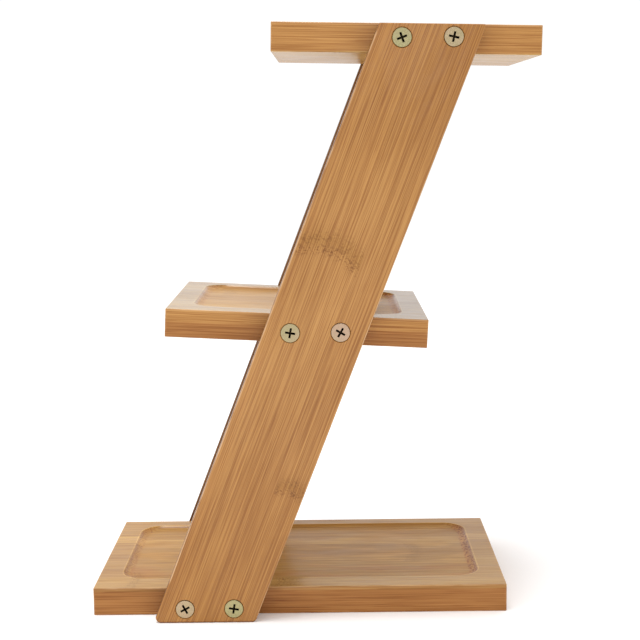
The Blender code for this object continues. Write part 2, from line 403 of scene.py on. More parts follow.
def bar_corners(low, high):
    """The four sharp corners of a bar, from the box round its rounded ones.

    The foot is level. The head is sawn parallel to the top tray.
    """
    axis = SHELVES["top_shelf"]["axis"]
    head = math.atan2(axis[2], axis[0])
    lean, slope = math.tan(BAR_LEAN), -axis[0] / axis[2]
    left_side, right_side = math.pi - BAR_LEAN, -BAR_LEAN
    foot = low[0] + FOOT_CORNER + corner_past(FOOT_CORNER, left_side, 1.5 * math.pi)[0]
    top = high[2] - HEAD_CORNER + corner_past(HEAD_CORNER, head, left_side)[1]
    left = foot + (top - low[2]) * lean
    right = high[0] - HEAD_CORNER + corner_past(HEAD_CORNER, right_side, head)[0]
    fall = top + (right - left) * slope
    width = right - (fall - low[2]) * lean - foot
    return ((foot, low[2]), (foot + width, low[2]), (right, fall), (left, top))


def bar_mesh(side):
    """A leaning bar: its edge profile carried round the outline, both faces pierced by the holes."""
    low, high = span(f"{side}_bar")
    radii = (FOOT_CORNER, FOOT_CORNER, HEAD_CORNER, HEAD_CORNER)
    outline = rounded_outline(bar_corners(low, high), radii, CORNER_STEPS)
    thick = high[1] - low[1]
    profile = [(BAR_ARRIS + EDGE_BAND, 0.0), *rounding(BAR_ARRIS, ROUND_STEPS)]
    profile.append((0.0, BAR_ARRIS + EDGE_BAND))
    profile += [(inset, thick - depth) for inset, depth in reversed(profile)]
    outer_face, inward = (low[1], 1.0) if side == "front" else (high[1], -1.0)
    shell = Shell()
    x, z, depth = np.moveaxis(carried(outline, profile), -1, 0)
    body = shell.add(np.stack((x, outer_face + inward * depth, z), -1))
    shell.skin(body)
    mouths, feet = [], []
    for level in LEVELS:
        for hand in HANDS:
            spot = screw_place(side, level, hand)
            bore = THREAD_RADIUS + SHANK_GAP
            rows = hole_profile(SCREW_RADIUS + HEAD_GAP, HEAD_LAND, bore, thick - HOLE_ROUND)
            ease = rounding(HOLE_ROUND, HOLE_ROUND_STEPS)[1:]
            rows += [(bore + depth, thick - inset) for inset, depth in ease]
            rows.append((bore + HOLE_ROUND + EDGE_BAND / 2, thick))
            x, z, drop = np.moveaxis(turned((spot[0], spot[2]), rows, HOLE_STEPS), -1, 0)
            numbers = shell.add(np.stack((x, outer_face - inward * drop, z), -1))
            shell.skin(numbers)
            mouths.append(numbers[0, :-1])
            feet.append(numbers[-1, :-1])
    shell.fill((0, 2), body[0, :-1], mouths)
    shell.fill((0, 2), body[-1, :-1], feet)
    return shell.mesh(f"bamboo_bar_{side}")


def cross_outline():
    """Points round the driver's cross at its mouth: one arm's three sides, turned to four bearings."""
    far, near = DRIVE_SPAN / 2, DRIVE_WING / 2
    corners = np.array(((near, -near), (far, -near), (far, near), (near, near)))
    shares = [np.linspace(0, 1, steps + 1)[:-1, None] for steps in DRIVE_STEPS]
    arm = np.concatenate([a + share * (b - a) for a, b, share in zip(corners, corners[1:], shares)])
    angles = np.arange(4) * math.pi / 2
    turns = np.stack((np.cos(angles), -np.sin(angles), np.sin(angles), np.cos(angles)), -1)
    return np.einsum("qij,nj->qni", turns.reshape(4, 2, 2), arm).reshape(-1, 2)


def screw_points():
    """A countersunk screw with its head's face on z = 0 and its point down, as two grids.

    Head: rings of the cross's outline, scaled from its floor to its mouth, then circles of the
    profile at the same bearings. Shank: the radius is the core plus a ridge that depends on
    depth less a pitch per turn, so that it winds down as a helix, and shrinks along the tip.
    """
    cross = cross_outline()
    bearing = np.arctan2(cross[:, 1], cross[:, 0])
    circle = np.stack((np.cos(bearing), np.sin(bearing)), -1)
    rings = [(cross * DRIVE_TAPER * size, DRIVE_DEPTH * deep) for size, deep in DRIVE_FLOOR]
    rings += [(cross * (1 + (DRIVE_TAPER - 1) * share), DRIVE_DEPTH * share) for share in DRIVE_WALL]
    rings += [(cross * size, depth) for size, depth in DRIVE_MOUTH]
    neck = HEAD_LAND + SCREW_RADIUS - CORE_RADIUS
    edge = [(SCREW_RADIUS - HEAD_ROUND - EDGE_BAND, 0.0)]
    edge += [(SCREW_RADIUS - inset, depth) for inset, depth in rounding(HEAD_ROUND, HEAD_ROUND_STEPS)]
    edge += [
        (SCREW_RADIUS, HEAD_LAND),
        (SCREW_RADIUS - CONE_BAND, HEAD_LAND + CONE_BAND),
        (CORE_RADIUS + CONE_BAND, neck - CONE_BAND),
        (CORE_RADIUS, neck),
    ]
    rings += [(circle * radius, depth) for radius, depth in edge]
    head = np.stack([ring for ring, _ in rings])
    depths = np.array([depth for _, depth in rings])
    drop = -np.broadcast_to(depths[:, None, None], head.shape[:2] + (1,))
    head = np.concatenate((head, drop), -1)
    head = np.concatenate((head, head[:, :1]), 1)

    end = SCREW_LENGTH - POINT_LENGTH
    ridge = np.array(THREAD_RIDGE)
    turns = math.ceil((end - neck) / THREAD_PITCH) + 2
    rows = np.concatenate([ridge[:, 0] + turn - 1 for turn in range(turns)])
    rise = np.tile(ridge[:, 1], turns)
    lag = (bearing - bearing[0]) % (2 * math.pi) / (2 * math.pi)
    lag = np.append(lag, 1.0)
    wanted = neck + THREAD_PITCH * (rows[:, None] + lag)
    depth = np.clip(wanted, neck, end)
    height = np.where(depth == wanted, rise[:, None], 0.0) * (THREAD_RADIUS - CORE_RADIUS)
    radius = (CORE_RADIUS + height) * np.minimum(1.0, (SCREW_LENGTH - depth) / TIP_LENGTH)
    way = np.concatenate((circle, circle[:1]))
    shank = np.concatenate((radius[..., None] * way, -depth[..., None]), -1)
    point = np.zeros((1, len(way), 3))
    point[..., 2] = -SCREW_LENGTH
    return head, np.concatenate((shank, point))


HEAD_GRID, SHANK_GRID = screw_points()


def screw_mesh(side, level, hand):
    """One screw, turned about its own length by its cross's angle and set in its place."""
    place = screw_place(side, level, hand)
    pair, one = f"{side}_{level}", HANDS.index(hand)
    rotation = np.array(
        Matrix.Rotation(0.0 if side == "front" else math.pi, 3, "Z")
        @ Matrix.Rotation(math.pi / 2, 3, "X")
        @ Matrix.Rotation(math.radians(DRIVE_TURNS[pair][one]), 3, "Z")
    )
    shell = Shell()
    for grid in (HEAD_GRID, SHANK_GRID):
        shell.skin(shell.add(grid @ rotation.T + place))
    mesh = shell.mesh(f"zinc_screw_{pair}_{hand}")
    places = np.empty(len(mesh.vertices) * 3, np.float32)
    mesh.vertices.foreach_get("co", places)
    local = (places.reshape(-1, 3) - place) @ rotation
    # the cross's grime and painted shade, below its mouth
    in_cross = np.hypot(local[:, 0], local[:, 1]) < DRIVE_SPAN * GRIME_SHADE_REACH
    grime_shade = mesh.attributes.new("drive_grime_shade", "FLOAT", "POINT")
    grime_shade.data.foreach_set("value", (in_cross & (local[:, 2] < -GRIME_SHADE_DEPTH)).astype(np.float32))
    tint = mesh.attributes.new("plating_tint", "FLOAT", "POINT")
    tints = np.full(len(mesh.vertices), PLATING_TINTS[pair][one], np.float32)
    tint.data.foreach_set("value", tints)
    return mesh


# ---------------------------------------------------------------- materials


class Graph:
    """Short ways to place and join nodes in a material or a group."""

    def __init__(self, tree):
        self.tree = tree

    def put(self, kind, inputs=None, **settings):
        node = self.tree.nodes.new(kind)
        for key, value in settings.items():
            setattr(node, key, value)
        self.feed_all(node.inputs, inputs or {})
        return node

    def feed(self, socket, value):
        if isinstance(value, bpy.types.NodeSocket):
            self.tree.links.new(value, socket)
        else:
            socket.default_value = value

    def feed_all(self, sockets, values):
        for key, value in values.items():
            self.feed(sockets[key], value)

    def place(self, group, inputs):
        """A group placed in this graph, and what comes out of it."""
        return self.put("ShaderNodeGroup", inputs, node_tree=group).outputs

    def math(self, operation, *values, kind="ShaderNodeMath", **settings):
        node = self.put(kind, operation=operation, **settings)
        for socket, value in zip(node.inputs, values):
            self.feed(socket, value)
        return node.outputs[0]

    def vector_math(self, operation, *values):
        return self.math(operation, *values, kind="ShaderNodeVectorMath")

    def times(self, first, *others):
        for other in others:
            first = self.math("MULTIPLY", first, other)
        return first

    def bell(self, value, sharpness):
        """A bell curve about 0: the exponent of minus the sharpness times the value's square."""
        return self.math("EXPONENT", self.times(value, value, -sharpness))

    def split(self, vector):
        return self.put("ShaderNodeSeparateXYZ", {"Vector": vector}).outputs

    def ramp(self, value, low, high, low_out=0.0, high_out=1.0, kind="SMOOTHSTEP"):
        node = self.put("ShaderNodeMapRange", interpolation_type=kind)
        for socket, given in zip(node.inputs, (value, low, high, low_out, high_out)):
            self.feed(socket, given)
        return node.outputs[0]

    def fading(self, value, low, high):
        """1 below low, 0 above high, and a smooth step between them."""
        return self.ramp(value, low, high, 1.0, 0.0)

    def mix(self, share, one, other, blend="MIX"):
        node = self.put("ShaderNodeMix", data_type="RGBA", blend_type=blend)
        self.feed(node.inputs["Factor"], share)
        self.feed(node.inputs[6], one)
        self.feed(node.inputs[7], other)
        return node.outputs[2]

    def tinted(self, share, colour, tint):
        return self.mix(share, colour, tint, "MULTIPLY")

    def marked(self, colour, masks, tints, strength=1.0):
        """A colour multiplied by each tint in turn, where that tint's mask says."""
        for key, share, tint in tints:
            colour = self.tinted(self.times(masks[key], share * strength), colour, tint)
        return colour

    def noise(self, vector, cells, detail=2.0, roughness=0.5):
        """Noise with this many cells to a unit of the vector, given once or for each direction."""
        if isinstance(cells, tuple):
            vector = self.vector_math("MULTIPLY", vector, cells)
            cells = 1.0
        inputs = {"Vector": vector, "Scale": cells, "Detail": detail, "Roughness": roughness}
        return self.put("ShaderNodeTexNoise", inputs).outputs["Fac"]


def new_group(name, inputs, outputs):
    """An empty shader node group. An input with no value given is a vector, and all else is a number."""
    tree = bpy.data.node_groups.new(name, "ShaderNodeTree")
    for label, value in inputs.items():
        kind = "NodeSocketVector" if value is None else "NodeSocketFloat"
        socket = tree.interface.new_socket(label, in_out="INPUT", socket_type=kind)
        if value is not None:
            socket.default_value = value
    for label in outputs:
        tree.interface.new_socket(label, in_out="OUTPUT", socket_type="NodeSocketFloat")
    graph = Graph(tree)
    return graph, graph.put("NodeGroupInput").outputs, graph.put("NodeGroupOutput").inputs


def new_material(name):
    material = bpy.data.materials.new(name)
    material.use_nodes = True
    graph = Graph(material.node_tree)
    place = graph.put("ShaderNodeTexCoord").outputs["Object"]
    return material, graph, material.node_tree.nodes["Principled BSDF"].inputs, place


# Noise cells to a millimetre along, across and through a board
BEND_CELLS = (0.01, 0.02, 0.02)
COARSE_CELLS = (0.010, 1.7, 1.7)
FINE_CELLS = (0.022, 2.6, 2.6)
DASH_CELLS = (0.04, 1.5, 1.5)
DRIFT_CELLS = (0.008, 0.07, 0.07)
PATCH_CELLS = (0.014, 0.035, 0.035)
KNUCKLE_CELLS = (0.08, 0.35, 0.1)
SPECK_CELLS = (1.1, 0.75, 0.75)
BREAKUP_CELLS = (0.05, 0.25, 0.25)
RIPPLE_CELLS = (0.05, 0.09, 0.09)
SHEEN_CELLS = (0.03, 0.08, 0.08)
THIN_CELLS = (0.02, 0.06, 0.06)
GLUE_CELLS = (0.03, 0.1, 0.0)
PORE_CELLS = 0.6
PEEL_CELLS = 0.55
MIDDLING = (0.3, 0.7)  # the range that most of a noise's values lie in

GRAIN_SWAY = 1.2  # mm that the fibres wander sideways
COARSE_SHARE = 0.45
LINE_RANGE = (0.48, 0.62)  # where the grain's noise turns from plain to dark
PALE_RANGE = (0.38, 0.48)  # and from pale to plain
BUNDLE_RANGE = (0.58, 0.70)


def make_fibres():
    """Bamboo's grain along X: fine lines, short dark bundles, and broad drifts of tone."""
    graph, given, result = new_group(
        "bamboo_fibres",
        {"Board": None, "Shift": None},
        ("Lines", "Pale", "Bundles", "Drift", "Patches", "Height"),
    )
    place = graph.vector_math("ADD", given["Board"], given["Shift"])
    bend = graph.times(graph.noise(place, BEND_CELLS, detail=1.0), GRAIN_SWAY)
    sway = graph.put("ShaderNodeCombineXYZ", {"Y": bend}).outputs[0]
    swayed = graph.vector_math("ADD", place, sway)
    coarse = graph.times(graph.noise(swayed, COARSE_CELLS, detail=1.0), COARSE_SHARE)
    fine = graph.times(graph.noise(swayed, FINE_CELLS, detail=1.0), 1.0 - COARSE_SHARE)
    grain = graph.math("ADD", coarse, fine)
    graph.feed_all(
        result,
        {
            "Lines": graph.ramp(grain, *LINE_RANGE, kind="LINEAR"),
            "Pale": graph.ramp(grain, *PALE_RANGE, 1.0, 0.0, kind="LINEAR"),
            "Bundles": graph.ramp(graph.noise(swayed, DASH_CELLS, detail=1.0), *BUNDLE_RANGE),
            "Drift": graph.noise(place, DRIFT_CELLS),
            "Patches": graph.noise(place, PATCH_CELLS, detail=3.0, roughness=0.55),
            "Height": grain,
        },
    )
    return graph.tree


KNUCKLE_WANDER = 4.0  # mm that a knuckle's line strays along the board
KNUCKLE_SIDE = 0.2  # mm that it takes to end at its strip's sides
BAND_SHARPNESS = 1.6
SPECK_ROW = 0.75  # how far below the band's middle its row of specks lies, in reaches
SPECK_SHARPNESS = 6.0
SPECKS_IN_BAND = 0.55
SPECK_RANGE = (0.5, 0.62)


def make_knuckle():
    """A bamboo knuckle across one strip: an arched band, with dark specks along its lower side.

    The band is a bell curve of the distance from an arch, which rises by a sine across the strip.
    """
    graph, given, result = new_group(
        "bamboo_knuckle",
        {"Board": None, "Along": 0.0, "Across Low": 0.0, "Across High": 10.0, "Arch": 3.0, "Reach": 5.0},
        ("Band", "Specks"),
    )
    board, low, high = given["Board"], given["Across Low"], given["Across High"]
    parts = graph.split(board)
    share = graph.ramp(parts["Y"], low, high, kind="LINEAR")
    rise = graph.times(graph.math("SINE", graph.times(share, math.pi)), given["Arch"])
    away = graph.math("SUBTRACT", parts["X"], graph.math("ADD", given["Along"], rise))
    wander = graph.math("SUBTRACT", graph.noise(board, KNUCKLE_CELLS, detail=3.0), 0.5)
    away = graph.math("ADD", away, graph.times(wander, KNUCKLE_WANDER))
    near = graph.math("DIVIDE", away, given["Reach"])
    (low_out, low_in), (high_in, high_out) = (
        (graph.math("SUBTRACT", side, KNUCKLE_SIDE), graph.math("ADD", side, KNUCKLE_SIDE))
        for side in (low, high)
    )
    inside = graph.times(
        graph.ramp(parts["Y"], low_out, low_in), graph.fading(parts["Y"], high_in, high_out)
    )
    band = graph.times(graph.bell(near, BAND_SHARPNESS), inside)
    row = graph.bell(graph.math("ADD", near, SPECK_ROW), SPECK_SHARPNESS)
    reach = graph.math("MAXIMUM", graph.times(band, SPECKS_IN_BAND), row)
    speck = graph.ramp(graph.noise(board, SPECK_CELLS, detail=1.0), *SPECK_RANGE)
    graph.feed_all(result, {"Band": band, "Specks": graph.times(speck, reach, inside)})
    return graph.tree


def make_edge_highlight():
    """How near a point is to an edge of a block of the given half sizes, broken up by noise.

    Of the three distances to the faces, an edge is where the middle one is small. It masks a painted
    highlight.
    """
    graph, given, result = new_group("edge_highlight", {"Board": None, "Half": None, "Reach": 1.0}, ("Highlight",))
    away = graph.vector_math("ABSOLUTE", given["Board"])
    x, y, z = graph.split(graph.vector_math("SUBTRACT", given["Half"], away))
    least, most = graph.math("MINIMUM", x, y), graph.math("MAXIMUM", x, y)
    middle = graph.math("MAXIMUM", least, graph.math("MINIMUM", most, z))
    breakup = graph.noise(given["Board"], BREAKUP_CELLS, detail=3.0, roughness=0.6)
    near = graph.fading(middle, 0.0, given["Reach"])
    graph.feed(result["Highlight"], graph.times(near, graph.ramp(breakup, *MIDDLING)))
    return graph.tree


# Lines round the recess, in mm out from the rim: a line's middle, and where it starts and ends fading
# painted highlight along the rim
RIM_HIGHLIGHT_LINE = (0.15, 0.15, 0.65)
# painted shade on the steep wall just inside the rim
WALL_SHADE_LINE = (-1.2, 0.2, 1.3)
WALL_FOOT = (-5.4, -3.6)
WALL_RIM = (-0.5, -0.1)
END_WALL = (-8.0, -5.0)
PORE_SIZES = (0.3, 0.5)
TOP_SLACK = 0.1
FLOOR_SLACK = 0.3
LEFT_END = 0.35  # how strong the left end's marks are beside the right end's
HALFWAY = 5.0  # mm to either side of the middle, where they change over


def make_recess_marks():
    """A tray's routed recess: a crisp painted highlight on the rim, painted shade on the wall inside it,
    dots of end grain.

    A point's distance to the rim is that to a rectangle with round corners: the length of what
    lies past the corner centres, less the corner radius. End grain shows where the wall cuts
    across the fibres, at the recess's two short ends.
    """
    graph, given, result = new_group(
        "recess_marks",
        {"Board": None, "Centre": None, "Half": None, "Corner": 13.0, "Depth": 2.0},
        ("Rim Highlight", "Wall Shade", "Dots", "Ends"),
    )
    local = graph.vector_math("SUBTRACT", given["Board"], given["Centre"])
    along, _, height = graph.split(local)
    corner, depth = given["Corner"], given["Depth"]
    inner = graph.split(
        graph.vector_math("SUBTRACT", graph.vector_math("ABSOLUTE", local), given["Half"])
    )
    past = [graph.math("MAXIMUM", graph.math("ADD", part, corner), 0.0) for part in inner[:2]]
    squares = [graph.times(part, part) for part in past]
    outside = graph.math("SUBTRACT", graph.math("SQRT", graph.math("ADD", *squares)), corner)
    below_floor = graph.math("SUBTRACT", -FLOOR_SLACK, depth)
    level = graph.ramp(height, below_floor, -TOP_SLACK)
    at_top = graph.math("GREATER_THAN", height, below_floor)
    # the rim's painted highlight, and the painted shade on the wall just inside it
    rim, foot = (
        graph.fading(graph.math("ABSOLUTE", graph.math("SUBTRACT", outside, middle)), start, end)
        for middle, start, end in (RIM_HIGHLIGHT_LINE, WALL_SHADE_LINE)
    )
    wall = graph.times(graph.ramp(outside, *WALL_FOOT), graph.fading(outside, *WALL_RIM))
    ends = graph.times(wall, graph.ramp(inner["X"], *END_WALL), at_top)
    ends = graph.times(ends, graph.ramp(along, -HALFWAY, HALFWAY, LEFT_END, 1.0))
    pores = graph.put(
        "ShaderNodeTexVoronoi", {"Vector": given["Board"], "Scale": PORE_CELLS}, voronoi_dimensions="3D"
    ).outputs["Distance"]
    graph.feed_all(
        result,
        {
            "Rim Highlight": graph.times(rim, at_top),
            "Wall Shade": graph.times(foot, at_top, level),
            "Dots": graph.times(graph.fading(pores, *PORE_SIZES), ends),
            "Ends": ends,
        },
    )
    return graph.tree


RIPPLE_HEIGHT = 0.35  # mm
PEEL_HEIGHT = 0.012
GRAIN_HEIGHT = 0.012
SHEEN_RANGE = (0.38, 0.5)  # the wood's roughness, from where it is rubbed to where it isn't


def make_lacquer():
    """The sprayed lacquer's surface: slow ripples, orange peel and a trace of the grain."""
    graph, given, result = new_group(
        "lacquer_surface", {"Board": None, "Grain": 0.5}, ("Height", "Roughness")
    )
    height = graph.times(graph.noise(given["Board"], RIPPLE_CELLS, detail=1.0), RIPPLE_HEIGHT)
    peel = graph.times(graph.noise(given["Board"], PEEL_CELLS), PEEL_HEIGHT)
    height = graph.math("ADD", height, peel)
    height = graph.math("ADD", height, graph.times(given["Grain"], GRAIN_HEIGHT))
    breakup = graph.noise(given["Board"], SHEEN_CELLS, detail=3.0)
    graph.feed_all(result, {"Height": height, "Roughness": graph.ramp(breakup, *MIDDLING, *SHEEN_RANGE)})
    return graph.tree


FIBRES = make_fibres()
KNUCKLE = make_knuckle()
EDGE_HIGHLIGHT = make_edge_highlight()
RECESS_MARKS = make_recess_marks()
LACQUER = make_lacquer()


def linear(red, green, blue):
    """A colour given as 0 to 255 display values, as the linear values that a shader wants."""
    shares = np.array((red, green, blue)) / 255.0
    values = np.where(shares <= 0.04045, shares / 12.92, ((shares + 0.055) / 1.055) ** 2.4)
    return (*values.tolist(), 1.0)


HONEY = np.array(linear(173, 124, 68))  # the lacquered bamboo's own colour
# colour of the painted highlight on the boards' rounded edges, where light catches them
HIGHLIGHT_COLOUR = linear(236, 202, 160)
# painted shade on a bar's narrow sides and at its foot
PAINTED_SHADE_TINT = (0.50, 0.40, 0.32, 1)
FAR_TINT = (0.86, 0.79, 0.62, 1)
# Broad tones: the mask, the range of it that runs from one tint to the other, and the two tints
TONES = (
    ("Patches", MIDDLING, (0.93, 0.90, 0.86, 1), (1.06, 1.08, 1.12, 1)),
    ("Drift", (0.35, 0.65), (0.98, 0.96, 0.93, 1), (1.02, 1.03, 1.03, 1)),
)
# Marks: the mask, how much of the tint it lays on at most, and the tint
GRAIN_TINTS = (
    ("Lines", 0.9, (0.69, 0.58, 0.45, 1)),
    ("Pale", 1.0, (1.15, 1.20, 1.26, 1)),
    ("Bundles", 0.5, (0.66, 0.50, 0.38, 1)),
)
KNUCKLE_TINTS = (
    ("Band", 1.0, (0.88, 0.86, 0.74, 1)),
    ("Specks", 0.8, (0.48, 0.36, 0.24, 1)),
)
RECESS_TINTS = (
    ("Ends", 0.6, (1.0, 0.76, 0.62, 1)),
    ("Dots", 0.85, (0.54, 0.34, 0.22, 1)),
    # painted shade on the steep wall under the rim
    ("Wall Shade", 0.5, (0.78, 0.62, 0.48, 1)),
    # painted highlight along the rim
    ("Rim Highlight", 1.0, (1.28, 1.34, 1.4, 1)),
)
STRIP_JOINT = 0.22  # mm from a joint between strips to its strips' full colours
GLUE_WAVER = 1.6
GLUE_SOFTNESS = 0.12
HIGHLIGHT_REACH = 0.9
BAR_END = (16.0, 12.0)  # mm from a bar's ends, where the painted highlight on its edges stops
FOOT_SHADE = (0.3, 1.2)  # mm above the floor, where the painted shade at a bar's foot fades out
SIDE_SHADE = (0.12, 0.04)  # mm in from a bar's narrow sides, where their painted shade starts
FAR_START = 0.2  # how far out a bar starts to darken, in half lengths
FACE_FLOOR = (0.3, 0.1)  # mm below a recess's floor, where the upper face's tone starts
FACE_SIDE = (0.45, 0.05)  # mm in from a tray's long sides, where that tone ends
BRIM = (0.5, 0.3)  # mm below a tray's top, where the margin's tone starts
COAT_STEP = (1.6, 0.4)  # mm below a tray's top, where the recess's coat turns into the board's
COAT_THIN = 0.85
COAT_ROUGHNESS = 0.16
COAT_IOR = 1.42
WOOD_SPECULAR = 0.15


def strip_colour(light, red):
    """The honey colour made lighter or darker, and redder by taking green and blue away."""
    return tuple((HONEY * (light, light * (1 - red), light * (1 - 1.5 * red), 1.0)).tolist())


def strip_ramp(graph, across, half, strips):
    """Colours of the glued strips across a board, as a stepped ramp from -half to half (mm)."""
    node = graph.put("ShaderNodeValToRGB", {"Fac": graph.ramp(across, -half, half, kind="LINEAR")})
    edges = [edge for edge, _, _ in strips]
    stops = []
    for i, (edge, light, red) in enumerate(strips):
        colour = strip_colour(light, red)
        stops.append((edge + STRIP_JOINT if i else -half, colour))
        if i + 1 < len(strips):
            stops.append((edges[i + 1] - STRIP_JOINT, colour))
    elements = node.color_ramp.elements
    while len(elements) < len(stops):
        elements.new(1.0)
    for element, (place, colour) in zip(elements, stops):
        element.position = min(max((place + half) / (2 * half), 0.0), 1.0)
        element.color = colour
    return node.outputs["Color"]


def tray_face(graph, colour, board, parts, half, face):
    """Paler colour over a tray's recess and the margin round it, with end grain, a painted highlight on
    the rim and painted shade under it.
    """
    recess, margin = face
    depth = RECESS_DEPTH / MM
    across = graph.math("ABSOLUTE", parts["Y"])
    top = graph.times(
        graph.ramp(parts["Z"], *(half[2] - depth - slack for slack in FACE_FLOOR)),
        graph.fading(across, *(half[1] - inset for inset in FACE_SIDE)),
    )
    brim = graph.ramp(parts["Z"], *(half[2] - drop for drop in BRIM))
    colour = graph.tinted(top, colour, graph.mix(brim, (*recess, 1), (*margin, 1)))
    marks = graph.place(
        RECESS_MARKS,
        {
            "Board": board,
            "Centre": (0.0, (FRONT_MARGIN - BACK_MARGIN) / 2 / MM, half[2]),
            "Half": (half[0] - SIDE_MARGIN / MM, half[1] - (FRONT_MARGIN + BACK_MARGIN) / 2 / MM, 0.0),
            "Corner": RECESS_CORNER / MM,
            "Depth": depth,
        },
    )
    return graph.marked(colour, marks, RECESS_TINTS)


def bar_shades(graph, colour, parts, half):
    """A bar's painted shade on its narrow sides and at its foot. Height is along by the lean's cosine,
    less across by its sine.
    """
    height = graph.math(
        "SUBTRACT",
        graph.times(parts["X"], math.cos(BAR_LEAN)),
        graph.times(parts["Y"], math.sin(BAR_LEAN)),
    )
    floor = -half[0] * math.cos(BAR_LEAN)
    foot = graph.fading(height, *(floor + level for level in FOOT_SHADE))
    across = graph.math("ABSOLUTE", parts["Y"])
    side = graph.ramp(across, *(half[1] - inset for inset in SIDE_SHADE))
    return graph.tinted(side, graph.tinted(foot, colour, PAINTED_SHADE_TINT), PAINTED_SHADE_TINT)


def bamboo(name, centre, turn, half, upper, lower, split, knuckles, shift, coats, highlight, face=None):
    """Lacquered laminated bamboo, in the board's own millimetres: X along the grain, Z through it.

    upper and lower are the two plies' strips, and split is the height of the glue line. coats is
    the lacquer's weight on the board and in its recess, whose open pores take up more of it.
    worn is how strong the painted highlight on the edges is. face is how much paler a tray's recess and
    margin are than its edges. A bar, with no face given, darkens towards its ends, and has painted shade
    at its foot and sides.
    """
    material, graph, shader, place = new_material(name)
    board = graph.put(
        "ShaderNodeMapping",
        {"Vector": place, "Location": centre, "Rotation": turn, "Scale": (MM, MM, MM)},
        vector_type="TEXTURE",
    ).outputs[0]
    parts = graph.split(board)
    along = graph.math("ABSOLUTE", parts["X"])
    fibre = graph.place(FIBRES, {"Board": board, "Shift": shift})

    waver = graph.math("SUBTRACT", graph.noise(board, GLUE_CELLS, detail=3.0), 0.5)
    glue = graph.math("ADD", graph.times(waver, GLUE_WAVER), split)
    above = graph.math("SUBTRACT", parts["Z"], glue)
    plies = [strip_ramp(graph, parts["Y"], half[1], strips) for strips in (lower, upper)]
    colour = graph.mix(graph.ramp(above, -GLUE_SOFTNESS, GLUE_SOFTNESS, kind="LINEAR"), *plies)
    for key, limits, dark, light in TONES:
        colour = graph.tinted(1.0, colour, graph.mix(graph.ramp(fibre[key], *limits), dark, light))
    colour = graph.marked(colour, fibre, GRAIN_TINTS)
    if face:
        colour = tray_face(graph, colour, board, parts, half, face)
    else:
        colour = graph.tinted(graph.ramp(along, FAR_START * half[0], half[0]), colour, FAR_TINT)
    for at, low, high, arch, reach, strength in knuckles:
        knot = graph.place(
            KNUCKLE,
            {"Board": board, "Along": at, "Across Low": low, "Across High": high,
             "Arch": arch, "Reach": reach},
        )
        colour = graph.marked(colour, knot, KNUCKLE_TINTS, strength)
    # painted highlight along the rounded edges; on a bar it fades out near the ends
    highlight_mask = graph.place(EDGE_HIGHLIGHT, {"Board": board, "Half": half, "Reach": HIGHLIGHT_REACH})
    highlit = graph.times(highlight_mask["Highlight"], highlight)
    if face:
        colour = graph.mix(highlit, colour, HIGHLIGHT_COLOUR)
    else:
        highlit = graph.times(highlit, graph.fading(along, *(half[0] - inset for inset in BAR_END)))
        colour = bar_shades(graph, graph.mix(highlit, colour, HIGHLIGHT_COLOUR), parts, half)

    lacquer = graph.place(LACQUER, {"Board": board, "Grain": fibre["Height"]})
    bump = graph.put("ShaderNodeBump", {"Height": lacquer["Height"], "Distance": MM})
    coat = graph.ramp(parts["Z"], *(half[2] - depth for depth in COAT_STEP), coats[1], coats[0])
    thin = graph.ramp(graph.noise(board, THIN_CELLS), *MIDDLING, COAT_THIN, 1.0)
    graph.feed_all(
        shader,
        {
            "Base Color": colour,
            "Roughness": lacquer["Roughness"],
            "Normal": bump.outputs["Normal"],
            "Coat Normal": bump.outputs["Normal"],
            "Coat Weight": graph.times(coat, thin),
            "Specular IOR Level": WOOD_SPECULAR,
            "Coat Roughness": COAT_ROUGHNESS,
            "Coat IOR": COAT_IOR,
        },
    )
    return material


# The plating's colours, and noise cells to a millimetre in its film, stains and scratches
GREEN_FILM = linear(162, 156, 115)
PINK_FILM = linear(181, 154, 131)
STAIN = linear(150, 128, 92)
# dark grime and painted shade down in the driver's cross
GRIME_SHADE_COLOUR = (0.05, 0.035, 0.02, 1)
FILM_CELLS = 0.16
STAIN_CELLS = 0.9
SCRATCH_CELLS = 3.5
FILM_SPREAD = 0.9
STAIN_RANGE = (0.45, 0.75)
STAIN_SHARE = 0.35
GRIME_SHADE_SHARE = 0.94
SCRATCH_HEIGHT = 0.01
SCRATCH_STRENGTH = 0.6
ZINC_ROUGHNESS = (0.24, 0.4)


def yellow_zinc():
    """Yellow passivated plating: a thin film whose tint runs from green to pink, lightly brushed."""
    material, graph, shader, place = new_material("yellow_zinc_plating")
    place = graph.vector_math("MULTIPLY", place, (1 / MM, 1 / MM, 1 / MM))
    tint, grime_shade = (
        graph.put("ShaderNodeAttribute", attribute_name=name).outputs["Fac"]
        for name in ("plating_tint", "drive_grime_shade")
    )
    film = graph.math("SUBTRACT", graph.noise(place, FILM_CELLS), 0.5)
    pink = graph.math("ADD", tint, graph.times(film, FILM_SPREAD), use_clamp=True)
    stain = graph.ramp(graph.noise(place, STAIN_CELLS, detail=3.0), *STAIN_RANGE)
    scratch = graph.noise(place, SCRATCH_CELLS, detail=3.0)
    plain = graph.mix(pink, GREEN_FILM, PINK_FILM)
    colour = graph.mix(graph.times(stain, STAIN_SHARE), plain, STAIN)
    height = graph.times(scratch, SCRATCH_HEIGHT)
    bump = graph.put(
        "ShaderNodeBump", {"Height": height, "Distance": MM, "Strength": SCRATCH_STRENGTH}
    )
    graph.feed_all(
        shader,
        {
            "Base Color": graph.tinted(graph.times(grime_shade, GRIME_SHADE_SHARE), colour, GRIME_SHADE_COLOUR),
            "Roughness": graph.ramp(scratch, *MIDDLING, *ZINC_ROUGHNESS),
            "Normal": bump.outputs["Normal"],
            "Metallic": 1.0,
        },
    )
    return material


# ---------------------------------------------------------------- studio

